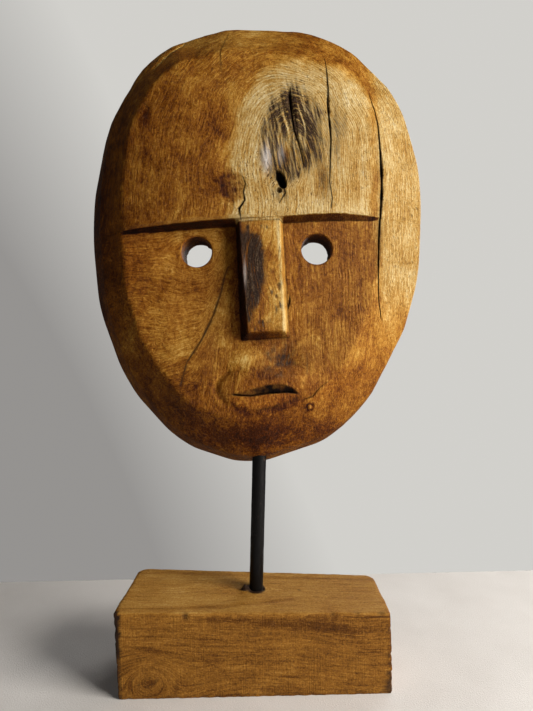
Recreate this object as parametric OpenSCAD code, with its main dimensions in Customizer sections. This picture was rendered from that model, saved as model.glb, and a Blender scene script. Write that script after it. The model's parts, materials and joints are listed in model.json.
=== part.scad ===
// Carved wooden face mask on a rod, standing in a sawn wooden block.
// Millimetres, +Z up, the face looks along -Y, +X is to the viewer's right.
// The origin is the centre of the block's underside.

/* [Mask outline] */
// Height of the mask from chin to crown
mask_h = 354.5; // [290:0.5:430]
// Width of the mask on the viewer's left of the line from crown to chin
mask_left_w = 126.5; // [105:0.5:160]
// Width of the mask on the viewer's right of that line
mask_right_w = 143; // [115:0.5:175]
// Distance of the line from crown to chin to the right of the rod
crown_x = -7.5; // [-15:0.5:15]
// Height above the chin where the left side is widest
widest_left_z = 179; // [150:1:205]
// Height above the chin where the right side is widest
widest_right_z = 199; // [165:1:225]
// Roundness of the upper left quarter, 2 is an ellipse
round_top_left = 2.4; // [1.8:0.05:2.6]
// Roundness of the upper right quarter
round_top_right = 2.4; // [1.8:0.05:2.6]
// Roundness of the lower left quarter
round_low_left = 2; // [1.8:0.05:2.6]
// Roundness of the lower right quarter
round_low_right = 2.1; // [1.8:0.05:2.6]

/* [Mask section] */
// Depth of the rim band, from the back plane forward
rim_t = 24; // [16:1:32]
// How far the rim band narrows towards its front edge, on average
rim_taper = 8; // [6:0.5:12]
// How much more the rim band narrows on the left than on average
rim_skew = 5; // [0:0.5:5]
// Depth of the slanted flank in front of the rim band
flank_t = 22; // [14:1:30]
// Width of the slanted flank, on average
flank_w = 30; // [22:1:36]
// How much wider the flank is on the right than on average
flank_skew = 7; // [0:0.5:8]
// Height of the forehead dome above the flank
dome_rise = 14; // [8:1:20]
// Width of the flat rim round the hollow back
back_rim_w = 25; // [18:1:36]
// Depth of the hollow in the back
hollow_d = 18; // [8:1:22]
// Width of the sloping wall of the hollow
hollow_slope_w = 14; // [6:1:20]
// Height of solid wood left above the chin for the rod
chin_solid_h = 78; // [74:1:100]

/* [Face] */
// Angle by which the brow and nose are out of level
face_roll = 2.2; // [-4:0.1:4]
// Height above the chin of the lower edge of the brow
brow_z = 185; // [165:1:205]
// Depth of the face below the top of the forehead dome
face_recess = 13; // [9:0.5:16]
// How far the face curves back towards the sides and the chin
face_curve = 3; // [1:0.5:8]
// Distance of the top of the nose from the line from crown to chin
nose_x = 12; // [4:0.5:18]
// Width of the nose's front face at the brow
nose_top_w = 30; // [20:1:40]
// Width of the nose's front face at its tip
nose_tip_w = 25.5; // [16:0.5:36]
// Length of the nose below the brow
nose_len = 88; // [60:1:100]
// How far the nose's front face stands behind the forehead
nose_drop = 2; // [1:0.5:5]
// How far the nose's sides spread from front face to cheek at the brow
nose_top_flare = 2; // [1:0.5:5]
// How far the nose's sides and end spread from front face to cheek at the tip
nose_tip_flare = 4.5; // [1:0.5:6]
// Diameter of the drilled eye holes
eye_d = 23; // [14:0.5:27]
// Distance of the midpoint between the eyes from the line from crown to chin
eye_x = 9.5; // [4:0.5:16]
// Distance between the centres of the eyes
eye_spacing = 90; // [70:1:110]
// Distance of the eyes below the brow's edge
eye_drop = 21; // [16:1:40]
// Distance of the middle of the mouth from the line from crown to chin
mouth_x = 14; // [4:0.5:20]
// Width of the mouth line
mouth_w = 51; // [30:1:70]
// Height of the mouth line above the chin
mouth_z = 56; // [44:1:70]
// Depth of the mouth line
mouth_d = 5; // [2:0.5:8]
// Height of the cut that forms the mouth line
mouth_h = 5; // [2:0.5:8]
// How far the lips swell out of the face
muzzle_rise = 5; // [0:0.5:8]
// Height of the swelling above and below the mouth
muzzle_h = 17; // [10:1:24]

/* [Rod] */
// Diameter of the rod
rod_d = 11; // [8:0.5:14]
// Length of bare rod between block and chin
rod_bare = 104; // [60:1:200]
// Height above the chin's lowest edge at which the rod enters the mask
chin_drop = 3; // [0:0.5:6]
// Depth of the rod's socket in the chin
mask_socket_d = 62; // [40:1:64]
// Depth of the rod's socket in the block
base_socket_d = 42; // [25:1:50]
// Clearance between rod and socket on each side
socket_gap = 0.08; // [0.03:0.01:0.1]
// Chamfer at the rod's ends
rod_chamfer = 1; // [0:0.1:2]
// Angle of the rod out of plumb, towards the viewer's right
rod_lean = 2.67; // [0:0.01:5]
// Angle by which the mask leans back
mask_lean_back = 4; // [0:0.5:8]

/* [Block] */
// Width of the block
base_w = 200; // [160:1:260]
// Depth of the block's left end
base_left_d = 74; // [60:1:110]
// Depth of the block's right end
base_right_d = 62; // [60:1:110]
// Height of the block's left end
base_left_h = 65.5; // [60:0.5:90]
// Height of the block's right end
base_right_h = 61; // [58:0.5:90]
// Radius of the block's two back corners
base_corner_r = 9; // [1:0.5:16]
// Distance of the rod behind the middle of the block
rod_y = 4; // [-10:1:10]
// Distance of the rod to the right of the middle of the block
rod_x = 2; // [-20:1:20]

/* [Hidden] */

around = 72;
dome_steps = 7;
dome_share = 0.93;
floor_cells = 22;
rod_round = 64;
eye_round = 48;
reach = 2 * mask_h;
edge = 0.01;
past = 1;

// The mask's own frame: Z runs from chin to crown, Y out of the back, and the rod meets Y = 0 at the chin.
rod_behind_rim = 6;
back_y = rim_t - rod_behind_rim;
rim_y = back_y - rim_t;
flank_y = rim_y - flank_t;
dome_y = flank_y - dome_rise;
face_y = dome_y + face_recess;
centre_z = mask_h / 2;

base_mid_h = (base_left_h + base_right_h) / 2;
base_front_y = -(base_left_d + base_right_d) / 4;
rod_foot_z = base_mid_h + (base_right_h - base_left_h) * rod_x / base_w;
cheek_w = (mask_left_w + mask_right_w) / 2 - flank_w;
cheek_z = brow_z - nose_len;
muzzle_side = 6;
socket_d = rod_d + 2 * socket_gap;
rod_l = base_socket_d + rod_bare + mask_socket_d;
eye_z = brow_z - eye_drop;

// One point of the mask's outline at turn angle a: four quarters of superellipses.
function quarter(v, n) = sign(v) * pow(abs(v), 2 / n);
function side_w(a) = cos(a) > 0 ? mask_right_w : mask_left_w;
function widest(a) = cos(a) > 0 ? widest_right_z : widest_left_z;
function roundness(a) = cos(a) > 0
  ? (sin(a) > 0 ? round_top_right : round_low_right)
  : (sin(a) > 0 ? round_top_left : round_low_left);
function outline(a) = let (n = roundness(a), mid = widest(a)) [
  side_w(a) * quarter(cos(a), n),
  mid + (sin(a) > 0 ? mask_h - mid : mid) * quarter(sin(a), n)
];

// The outline moved inwards by a width, then shrunk by a share towards the centre.
function inset(a, w, share) = let (p = outline(a), r = norm(p - [0, centre_z]))
  [0, centre_z] + (p - [0, centre_z]) * (1 - w / r) * (1 - share);
function band_w(a) = rim_taper - rim_skew * cos(a);
function front_w(a) = band_w(a) + flank_w + flank_skew * cos(a);

// Joins rings of equal length into a closed skin, the first and last ring capped.
module skin(rings) {
  n = len(rings[0]);
  last = len(rings) - 1;
  sides = [for (k = [0:last - 1]) for (i = [0:n - 1]) for (half = [0, 1])
    let (j = (i + 1) % n)
    half == 0
      ? [k * n + i, (k + 1) * n + i, k * n + j]
      : [k * n + j, (k + 1) * n + i, (k + 1) * n + j]];
  caps = [[for (i = [0:n - 1]) i], [for (i = [n - 1:-1:0]) last * n + i]];
  polyhedron(points = [for (ring = rings) for (p = ring) p], faces = concat(sides, caps), convexity = 6);
}

function ring_at(w, share, y) = [for (i = [0:around - 1])
  let (p = inset(i * 360 / around, w, share)) [p[0], y, p[1]]];
function rim_front() = [for (i = [0:around - 1])
  let (a = i * 360 / around, p = inset(a, band_w(a), 0)) [p[0], rim_y, p[1]]];
function flank_top() = [for (i = [0:around - 1])
  let (a = i * 360 / around, p = inset(a, front_w(a), 0)) [p[0], flank_y, p[1]]];
function dome_ring(share) = [for (i = [0:around - 1])
  let (a = i * 360 / around, p = inset(a, front_w(a), share))
  [p[0], flank_y - dome_rise * (1 - pow(1 - share, 2)), p[1]]];

// The mask before the face is cut: rim band, slanted flank and domed front.
module blank() {
  skin(concat(
    [ring_at(0, 0, back_y), rim_front(), flank_top()],
    [for (k = [1:dome_steps]) dome_ring(k / dome_steps * dome_share)]
  ));
}

// Surface of the cheeks and lips, in front of which the wood is cut away.
function swell(x, z) = muzzle_rise
  * exp(-pow((x - mouth_x) / (mouth_w / 2 + muzzle_side), 2) - pow((z - mouth_z) / muzzle_h, 2));
function face_at(x, z) = face_y - swell(x, z)
  + face_curve * (pow((x - eye_x) / cheek_w, 2) + pow(max(0, cheek_z - z) / cheek_z, 2));

module face_cut() {
  margin = 20;
  left = -mask_left_w - margin;
  right = mask_right_w + margin;
  low = -margin;
  high = brow_z + margin;
  cells = floor_cells;
  function gx(i) = left + (right - left) * i / cells;
  function gz(k) = low + (high - low) * k / cells;
  floor_points = [for (k = [0:cells]) for (i = [0:cells]) [gx(i), face_at(gx(i), gz(k)), gz(k)]];
  front_points = [for (k = [0, cells]) for (i = [0, cells]) [gx(i), -reach, gz(k)]];
  n = cells + 1;
  f = n * n;
  quads = [for (k = [0:cells - 1]) for (i = [0:cells - 1]) for (half = [0, 1])
    let (p = k * n + i)
    half == 0 ? [p, p + n, p + 1] : [p + 1, p + n, p + n + 1]];
  walls = [
    concat([f, f + 1], [for (i = [cells:-1:0]) i]),
    concat([f + 3, f + 2], [for (i = [0:cells]) cells * n + i]),
    concat([f + 2, f], [for (k = [0:cells]) k * n]),
    concat([f + 1, f + 3], [for (k = [cells:-1:0]) k * n + cells]),
    [f, f + 2, f + 3, f + 1]
  ];
  intersection() {
    polyhedron(points = concat(floor_points, front_points), faces = concat(quads, walls), convexity = 6);
    below_brow();
  }
}

module below_brow() {
  translate([nose_x, 0, brow_z]) rotate([0, -face_roll, 0])
    translate([-reach, -reach, -reach]) cube([2 * reach, 2 * reach, reach]);
}

// The nose: a bar with sloping sides and tip, hanging from the brow.
module nose_slab(top_w, tip_w, len, y) {
  root = 4;
  translate([0, y, 0]) rotate([90, 0, 0]) linear_extrude(edge)
    polygon([[-top_w / 2, root], [top_w / 2, root], [tip_w / 2, -len], [-tip_w / 2, -len]]);
}

module nose() {
  translate([nose_x, 0, brow_z]) rotate([0, -face_roll, 0]) hull() {
    nose_slab(nose_top_w, nose_tip_w, nose_len - nose_tip_flare, dome_y + nose_drop);
    nose_slab(nose_top_w + 2 * nose_top_flare, nose_tip_w + 2 * nose_tip_flare, nose_len, face_y + past);
  }
}

// The mouth: a wedge cut in as far as its depth, as high as its mouth at the lips.
module mouth() {
  translate([mouth_x - mouth_w / 2, face_at(mouth_x, mouth_z), mouth_z]) rotate([90, 0, 90])
    linear_extrude(mouth_w) polygon([[mouth_d, 0], [-mouth_d, mouth_h], [-mouth_d, -mouth_h]]);
}

module eyes() {
  for (side = [-1, 1])
    translate([eye_x + side * eye_spacing / 2, reach / 2, eye_z]) rotate([90, 0, 0])
      cylinder(h = reach, d = eye_d, $fn = eye_round);
}

// The shallow hollow in the back, with sloping walls, which stops above the chin.
module hollow() {
  slope = hollow_slope_w / hollow_d;
  deep = -hollow_d - past;
  intersection() {
    skin([
      ring_at(back_rim_w - slope * past, 0, back_y + past),
      ring_at(back_rim_w + hollow_slope_w, 0, back_y - hollow_d)
    ]);
    translate([0, back_y, chin_solid_h]) rotate([90, 0, 90]) linear_extrude(2 * reach, center = true)
      polygon([[past, -slope * past], [deep, -slope * deep], [deep, reach], [past, reach]]);
  }
}

module on_rod(distance) {
  translate([rod_x, rod_y, rod_foot_z]) rotate([0, rod_lean, 0]) translate([0, 0, distance]) children();
}

module place_mask() {
  on_rod(rod_bare) rotate([0, -rod_lean, 0]) rotate([-mask_lean_back, 0, 0])
    translate([crown_x, 0, -chin_drop]) children();
}

module mask() {
  color("peru") difference() {
    place_mask() {
      difference() {
        blank();
        difference() {
          face_cut();
          nose();
        }
        hollow();
        mouth();
        eyes();
      }
    }
    on_rod(rod_bare - reach + mask_socket_d) cylinder(h = reach, d = socket_d, $fn = rod_round);
  }
}

module rod() {
  r = rod_d / 2;
  color("#1c1c20") on_rod(-base_socket_d) rotate_extrude($fn = rod_round)
    polygon([[0, 0], [r - rod_chamfer, 0], [r, rod_chamfer], [r, rod_l - rod_chamfer],
      [r - rod_chamfer, rod_l], [0, rod_l]]);
}

module base_plan() {
  r = base_corner_r;
  back_left = base_front_y + base_left_d;
  back_right = base_front_y + base_right_d;
  difference() {
    polygon([[-base_w / 2, base_front_y], [base_w / 2, base_front_y], [base_w / 2, back_right],
      [-base_w / 2, back_left]]);
    translate([-base_w / 2, back_left]) corner_waste(r, 1);
    translate([base_w / 2, back_right]) corner_waste(r, -1);
  }
}

// What is taken off a corner at the origin to round it, with the wood on the given side.
module corner_waste(r, side) {
  difference() {
    translate([side * r / 2 - side * edge, 0]) square([r, 2 * r], center = true);
    translate([side * r, -r]) circle(r, $fn = rod_round);
  }
}

module base_block() {
  slope_h = base_right_h - base_left_h;
  tall = base_mid_h + abs(slope_h);
  color("#a8763e") difference() {
    intersection() {
      linear_extrude(tall) base_plan();
      rotate([90, 0, 0]) linear_extrude(reach, center = true)
        polygon([[-base_w, 0], [base_w, 0], [base_w, base_mid_h + slope_h], [-base_w, base_mid_h - slope_h]]);
    }
    on_rod(-base_socket_d) cylinder(h = reach, d = socket_d, $fn = rod_round);
  }
}

mask();
rod();
base_block();
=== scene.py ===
"""Looks of a carved wooden mask on a rod and a sawn block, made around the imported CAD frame.

The carving is worked out in the mask's own millimetres: x to the viewer's right of the line from
chin to crown, z up from the chin, y out of the back. to_world() puts it where the CAD mask is.
"""

import json
import math

import bpy
import numpy as np
from mathutils import Matrix, Vector
from mathutils.geometry import delaunay_2d_cdt


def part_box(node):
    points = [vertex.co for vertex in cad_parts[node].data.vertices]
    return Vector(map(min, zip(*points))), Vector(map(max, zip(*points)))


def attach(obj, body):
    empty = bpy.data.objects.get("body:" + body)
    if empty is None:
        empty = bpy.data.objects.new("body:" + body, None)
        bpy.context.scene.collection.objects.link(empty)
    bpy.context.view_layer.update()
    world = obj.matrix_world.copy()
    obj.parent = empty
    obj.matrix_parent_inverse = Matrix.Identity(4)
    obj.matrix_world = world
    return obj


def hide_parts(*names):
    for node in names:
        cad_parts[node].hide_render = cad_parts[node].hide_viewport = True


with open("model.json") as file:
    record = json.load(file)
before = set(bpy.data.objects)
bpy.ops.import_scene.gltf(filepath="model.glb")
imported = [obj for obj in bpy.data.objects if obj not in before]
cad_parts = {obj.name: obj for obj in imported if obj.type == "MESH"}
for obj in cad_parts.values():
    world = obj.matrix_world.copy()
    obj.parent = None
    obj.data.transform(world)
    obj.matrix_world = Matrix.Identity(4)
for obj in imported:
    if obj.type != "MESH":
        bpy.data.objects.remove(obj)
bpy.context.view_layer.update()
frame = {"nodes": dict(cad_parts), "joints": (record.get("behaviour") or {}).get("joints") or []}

# ---------------------------------------------------------------- the carving's own measures, mm
MASK_H = 354.5
LEFT_W, RIGHT_W = 126.5, 143.0
WIDEST_LEFT, WIDEST_RIGHT = 179.0, 199.0
ROUND = {"top_left": 2.4, "top_right": 2.4, "low_left": 2.0, "low_right": 2.1}
LEAN_BACK = math.radians(4.0)
BACK_Y, RIM_Y, FLANK_Y, DOME_Y = 18.0, -6.0, -28.0, -42.0
FACE_Y = DOME_Y + 13.0
RIM_TAPER, RIM_SKEW = 8.0, 5.0
FLANK_W, FLANK_SKEW = 30.0, 7.0
BACK_RIM, HOLLOW_D, HOLLOW_SLOPE, CHIN_SOLID = 25.0, 18.0, 14.0, 78.0
BROW_Z, FACE_ROLL = 185.0, math.radians(2.2)
NOSE_X, NOSE_TOP, NOSE_TIP, NOSE_LEN = 12.0, 30.0, 25.5, 88.0
NOSE_Y = DOME_Y + 2.0
NOSE_FLARE = {"left": (2.6, 5.8), "right": (2.6, 4.2)}  # at its top and its tip
NOSE_END = 5.0
EYE_X, EYE_SPACING, EYE_Z, EYE_R, EYE_EDGE = 9.5, 90.0, 164.0, 11.5, 0.9
MOUTH_X, MOUTH_LEFT, MOUTH_RIGHT = 14.0, -12.5, 39.5
EYES = [(EYE_X - EYE_SPACING / 2, EYE_Z), (EYE_X + EYE_SPACING / 2, EYE_Z)]
CENTRE_Z = MASK_H / 2
LEAN_C, LEAN_S = math.cos(LEAN_BACK), math.sin(LEAN_BACK)
ROLL_C, ROLL_S = math.cos(FACE_ROLL), math.sin(FACE_ROLL)

# Mesh: points round the rim and round an eye, grid of front and back, and rows of points through
# the rim band and through an eye, from 0 on one face to 1 on the other.
AROUND, EYE_AROUND = 760, 84
FRONT_CELL, BACK_CELL, BACK_INSET = 1.25, 2.6, 1.0
BAND_ROWS = (0.0, 0.03, 0.08, 0.16, 0.25, 0.35, 0.45, 0.55, 0.65, 0.75, 0.84, 0.92, 1.0)
EYE_ROWS = (0.03, 0.12, 0.25, 0.4, 0.55, 0.7, 0.82, 0.92)

# Flats that the adze left round the rim: (angle from the viewer's right, how deep it cuts).
FLATS = [(102, 2.0), (82, 1.6), (52, 1.5), (30, 1.0), (0, 0.8), (-24, 0.7), (-41, 2.2), (-78, 2.2),
         (-100, 1.2), (-120, 1.0), (-146, 0.9), (-172, 0.8), (150, 1.2), (128, 0.8)]
FLAT_STAND = 0.8

# Lower edge of the brow: x and height above the chin.
BROW_EDGE = [(-100, 180.6), (-80, 182.0), (-45, 183.6), (-5, 185.2), (20, 185.6), (42, 187.4),
             (68, 189.2), (90, 188.6), (106, 186.4)]

# Splits in the wood: points, widest opening, depth, darkness, where along it is widest.
CRACKS = {
    "forehead_split": ([(64.6, 313), (65.8, 284), (65.0, 271), (65.6, 260), (66.4, 244), (65.2, 226),
                        (64.6, 211), (66.0, 200), (64.8, 190)], 1.15, 5.0, 1.0, 0.38),
    "side_split": ([(98.0, 287), (102.0, 270), (103.8, 257), (104.6, 234), (104.8, 210), (103.2, 190),
                    (101.6, 170), (100.6, 147), (100.8, 125), (103.4, 109)], 1.6, 7.0, 1.0, 0.40),
    "brow_split": ([(0.8, 216), (2.6, 210), (1.0, 204), (2.0, 198), (-2.4, 192), (-1.0, 183)],
                   0.95, 4.0, 1.0, 0.75),
    "cheek_line": ([(-12, 152), (-14.5, 146), (-17.5, 134), (-23.8, 116), (-33.0, 98), (-44.5, 81),
                    (-49.5, 64)], 0.8, 0.5, 0.45, 0.45),
    "crown_line": ([(-8.8, 342), (-14.7, 316), (-14.2, 298)], 0.5, 0.6, 0.6, 0.4),
    "nose_side_split": ([(33.6, 130), (33.0, 124), (31.6, 118)], 1.3, 1.6, 0.8, 0.5),
    "knot_tail": ([(30.9, 207), (31.4, 203), (29.0, 199), (26.6, 195)], 0.8, 2.0, 0.9, 0.2),
    "knob_line": ([(41, 51.5), (48.6, 54), (54.8, 61), (60.9, 65)], 1.0, 0.8, 0.5, 0.3),
    "knot_split": ([(37.7, 286), (36.8, 277), (36.9, 270), (38, 262), (39.1, 250), (42.2, 240), (44.7, 230),
                    (45.5, 223)], 1.7, 3.0, 0.95, 0.16),
    "temple_line": ([(-74, 279), (-69.5, 273), (-70, 264)], 0.5, 0.5, 0.5, 0.5),
}


# ---------------------------------------------------------------- small tools
def smooth(t):
    t = np.clip(t, 0.0, 1.0)
    return t * t * (3 - 2 * t)


def bell(d, width):
    """1 where d is 0, fading out over the width."""
    return np.exp(-(d / width) ** 2)


def blob(x, z, cx, cz, sx, sz):
    """A soft spot: 1 in the middle, fading out over sx and sz."""
    return np.exp(-((x - cx) / sx) ** 2 - ((z - cz) / sz) ** 2)


def spots(x, z, table):
    """Sum of soft spots, given as x, z, half width, half height and how much."""
    return sum(amount * blob(x, z, *spot) for *spot, amount in table)


def noise(u, v, size, seed):
    """Smooth noise between about -1 and 1 that changes over `size`."""
    rng = np.random.default_rng(seed)
    order = rng.permutation(256)
    turn = rng.uniform(0, 2 * math.pi, 256)
    u, v = np.asarray(u, float) / size, np.asarray(v, float) / size
    i, j = np.floor(u).astype(int), np.floor(v).astype(int)
    fu, fv = u - i, v - j

    def corner(a, b):
        angle = turn[(order[(i + a) & 255] + j + b) & 255]
        return np.cos(angle) * (fu - a) + np.sin(angle) * (fv - b)

    su, sv = smooth(fu), smooth(fv)
    low = corner(0, 0) * (1 - su) + corner(1, 0) * su
    high = corner(0, 1) * (1 - su) + corner(1, 1) * su
    return 1.5 * (low * (1 - sv) + high * sv)


def soft_max(a, b, width):
    """The larger of a and b, rounded where they cross."""
    return (a + b + np.sqrt((a - b) ** 2 + width ** 2)) / 2


def walked(points):
    """Length along a line of points, from its start to each of them."""
    return np.concatenate([[0], np.cumsum(np.hypot(*np.diff(points, axis=0).T))])


def to_line(x, z, points):
    """Distance from a line of points, and how far along it the nearest place is, from 0 to 1."""
    p = np.array(points, float)
    start = walked(p)
    best, along = np.full(np.shape(x), 1e9), np.zeros(np.shape(x))
    for k in range(len(p) - 1):
        d = p[k + 1] - p[k]
        t = np.clip(((x - p[k, 0]) * d[0] + (z - p[k, 1]) * d[1]) / (d @ d), 0, 1)
        far = np.hypot(x - p[k, 0] - t * d[0], z - p[k, 1] - t * d[1])
        near = far < best
        best = np.where(near, far, best)
        along = np.where(near, (start[k] + t * (start[k + 1] - start[k])) / start[-1], along)
    return best, along


def line_far(x, z, points):
    return to_line(x, z, points)[0]


def within(x, z, points):
    """True inside a closed line of points."""
    inside = np.zeros(np.shape(x), bool)
    for (x1, z1), (x2, z2) in zip(points, np.roll(points, -1, axis=0)):
        crosses = (z1 > z) != (z2 > z)
        inside ^= crosses & (x < (x2 - x1) * (z - z1) / (z2 - z1 if z2 != z1 else 1e-9) + x1)
    return inside


def inside_of(x, z, points):
    """How far inside a closed line of points a place is: above 0 inside, below 0 outside."""
    far = line_far(x, z, points + points[:1])
    return np.where(within(x, z, points), far, -far)


def resample(points, step):
    """Points every `step` along a line of points."""
    p = np.array(points, float)
    at = walked(p)
    want = np.linspace(0, at[-1], max(2, int(round(at[-1] / step)) + 1))
    return np.stack([np.interp(want, at, p[:, 0]), np.interp(want, at, p[:, 1])], 1)


def from_eyes(x, z):
    """Distance from the middle of the nearer eye."""
    return np.minimum(*(np.hypot(x - cx, z - cz) for cx, cz in EYES))


def bridge(rows):
    """Faces between each ring of point numbers and the next one."""
    faces = []
    for a, b in zip(rows[:-1], rows[1:]):
        faces += [tuple(int(k) for k in quad) for quad in zip(a, np.roll(a, -1), np.roll(b, -1), b)]
    return faces


# ---------------------------------------------------------------- where the CAD mask is
def upright(co):
    """Up along the leaning mask and out of its back, in metres."""
    return co[:, 1] * LEAN_S + co[:, 2] * LEAN_C, co[:, 1] * LEAN_C - co[:, 2] * LEAN_S


def mask_place():
    """Metres for each mm of the carving, and where the carving's zero point is."""
    co = np.array([v.co for v in frame["nodes"]["mask"].data.vertices])
    up, out = upright(co)
    mm = (up.max() - up.min()) / MASK_H
    return mm, co[up.argmax(), 0], out.max() - BACK_Y * mm, up.min()


MM, X0, Y0, Z0 = mask_place()


def to_world(x, y, z):
    out, up = Y0 + y * MM, Z0 + z * MM
    return np.stack([X0 + x * MM, out * LEAN_C + up * LEAN_S, up * LEAN_C - out * LEAN_S], -1)


def from_world(co):
    up, out = upright(co)
    return (co[:, 0] - X0) / MM, (out - Y0) / MM, (up - Z0) / MM


# ---------------------------------------------------------------- the mask's outline and section
def outline_table():
    """Turn angle and distance from the middle of the outline, in small steps."""
    t = np.radians(np.arange(-180, 180, 0.25))
    c, s = np.cos(t), np.sin(t)
    right, top = c > 0, s > 0
    n = np.where(right, np.where(top, ROUND["top_right"], ROUND["low_right"]),
                 np.where(top, ROUND["top_left"], ROUND["low_left"]))
    mid = np.where(right, WIDEST_RIGHT, WIDEST_LEFT)
    x = np.where(right, RIGHT_W, LEFT_W) * np.sign(c) * np.abs(c) ** (2 / n)
    z = mid + np.where(top, MASK_H - mid, mid) * np.sign(s) * np.abs(s) ** (2 / n) - CENTRE_Z
    turn, far = np.arctan2(z, x), np.hypot(x, z)
    order = np.argsort(turn)
    turn, smooth_far = turn[order], far[order]
    far = smooth_far + FLAT_STAND
    px, pz = smooth_far * np.cos(turn), smooth_far * np.sin(turn)
    facing = np.arctan2(-np.gradient(px), np.gradient(pz))
    for degrees, depth in FLATS:
        k = np.abs(turn - math.radians(degrees)).argmin()
        reach = px[k] * math.cos(facing[k]) + pz[k] * math.sin(facing[k]) + FLAT_STAND - depth
        cut = reach / np.maximum(np.cos(turn - facing[k]), 0.2)
        far = -soft_max(-far, -cut, 0.5)
    return turn, far


TURN, FAR = outline_table()


def polar(x, z):
    turn = np.arctan2(z - CENTRE_Z, x)
    return np.hypot(x, z - CENTRE_Z), turn, np.interp(turn, TURN, FAR, period=2 * math.pi)


def on_ring(turn, inset):
    far = np.interp(turn, TURN, FAR, period=2 * math.pi) - inset
    return far * np.cos(turn), CENTRE_Z + far * np.sin(turn)


def band_w(turn):
    return RIM_TAPER - RIM_SKEW * np.cos(turn)


def blank(x, z):
    """Front of the mask before the face is cut: rim band, slanted flank and domed middle."""
    r, turn, far = polar(x, z)
    band = band_w(turn)
    front = band + FLANK_W + FLANK_SKEW * np.cos(turn)

    def section(w):
        share = np.clip((w - front) / (far - front), 0, 1)
        y_band = BACK_Y + (RIM_Y - BACK_Y) * w / band
        y_flank = RIM_Y + (FLANK_Y - RIM_Y) * (w - band) / (front - band)
        y_dome = FLANK_Y - (FLANK_Y - DOME_Y) * (1 - (1 - share) ** 2)
        return np.where(w < band, y_band, np.where(w < front, y_flank, y_dome))

    w = np.clip(far - r, 0, None)
    wear = 0.9 + 1.3 * smooth((w - band) / (front - band))
    return sum(section(np.maximum(w + k * wear, 0)) for k in (-1, -0.5, 0, 0.5, 1)) / 5


def tool_marks(x, z):
    """Shallow facets and waves that the blade left, in mm."""
    r, turn, far = polar(x, z)
    w = far - r
    along = turn * 150
    marks = 0.55 * noise(x, z, 46, 1) + 0.30 * noise(x, z, 21, 2) + 0.10 * noise(x, z, 8, 3)
    flank = smooth(w / 10) * smooth((52 - w) / 18)
    strokes = np.abs(noise(along, w, 26, 4)) + 0.5 * np.abs(noise(along * 1.3, w * 0.6, 12, 5))
    return marks + flank * (1.1 * strokes - 0.4)


# ---------------------------------------------------------------- the face
def brow_edge(x):
    p = np.array(BROW_EDGE)
    spread = (-9, -4.5, 0, 4.5, 9)
    return sum(np.interp(x + d, p[:, 0], p[:, 1]) for d in spread) / 5 + 0.25 * noise(x, 0, 9, 6)


def brow_under(x):
    """How far the slanted underside of the brow reaches down, in mm."""
    return np.interp(x, [-90, -45, -5, 15, 45, 75, 95, 104], [2.4, 3.0, 2.6, 1.8, 3.0, 3.9, 3.2, 1.2])


# Swellings and hollows round the mouth and under the brow.
CHEEK_SPOTS = [(3, 83, 14, 8, -3.2), (30, 80, 9, 10, 1.2), (MOUTH_X - 1, 49, 22, 5, -1.6),
               (-58, 176, 26, 9, 0.6), (62, 179, 26, 8, 0.6)]
MOUTH_FOLD = [(-14, 73), (-20, 69), (-23, 64), (-22, 57), (-17, 51), (-8, 46), (6, 43)]


def cheeks(x, z):
    """Surface of the face below the brow, with the swelling round the mouth."""
    y = FACE_Y + 3.0 * (((x - EYE_X) / 104.75) ** 2 + (np.maximum(0, 97 - z) / 97) ** 2)
    lips = np.sqrt(((x - MOUTH_X) / 35) ** 2 + ((z - 59) / 19) ** 2)
    y += spots(x, z, CHEEK_SPOTS) - 4.2 * smooth((1.25 - lips) / 0.75)
    y += 1.2 * bell(line_far(x, z, MOUTH_FOLD), 2.2)
    return y + 0.35 * noise(x, z, 16, 7) + 0.12 * noise(x, z, 5.5, 8)


def chatter(x, z):
    """Rows of short blade marks down the right cheek."""
    zone = chatter_zone(x, z)
    return zone * 0.20 * np.sin(2 * math.pi * (x + 0.05 * z + 0.6 * noise(x, z, 14, 9)) / 2.7)


def chatter_zone(x, z):
    patches = 0.8 + 0.9 * noise(x * 0.7, z, 12, 19)
    low, high = blob(x, z, 76, 115, 8, 17), 0.7 * blob(x, z, 75, 150, 7, 9)
    return np.clip(patches, 0, 1) * smooth(1.5 * (low + high + 0.4 * blob(x, z, 52, 140, 6, 10)))


def nose_place(x, z):
    """Across and down the nose, from the middle of its top."""
    dx, dz = x - NOSE_X, z - BROW_Z
    return dx * ROLL_C + dz * ROLL_S, dx * ROLL_S - dz * ROLL_C


def nose_share(x, z):
    """0 on the nose's front face, 1 where its sides reach the cheek."""
    u, v = nose_place(x, z)
    t = np.clip(v / NOSE_LEN, -0.1, 1)
    half = NOSE_TOP / 2 + (NOSE_TIP - NOSE_TOP) / 2 * t + 0.25 * noise(v, 0, 11, 10)
    top = np.where(u < 0, NOSE_FLARE["left"][0], NOSE_FLARE["right"][0])
    tip = np.where(u < 0, NOSE_FLARE["left"][1], NOSE_FLARE["right"][1])
    side = (np.abs(u) - half) / (top + (tip - top) * t)
    end = (v - NOSE_LEN + NOSE_END + 0.5) / NOSE_END
    return np.maximum(side, end), u, v


MOUTH = {"line": [(-12.5, 56.5), (3, 55.2), (15, 56.8), (29, 57.4), (39.5, 56)],
         "top": [(-12.5, 56.6), (-4, 58.5), (3, 60.5), (15, 63.5), (26, 64.2), (34, 61.2), (39.5, 56.2)],
         "bottom": [(-12.5, 56.2), (-11.5, 53), (-7, 49), (0, 46.6), (9, 45.8), (19, 47.6), (30, 50.6),
                    (39.5, 54.8)]}


def mouth_line(name, x):
    p = np.array(MOUTH[name])
    return sum(np.interp(x + d, p[:, 0], p[:, 1]) for d in (-2, -1, 0, 1, 2)) / 5


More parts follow.
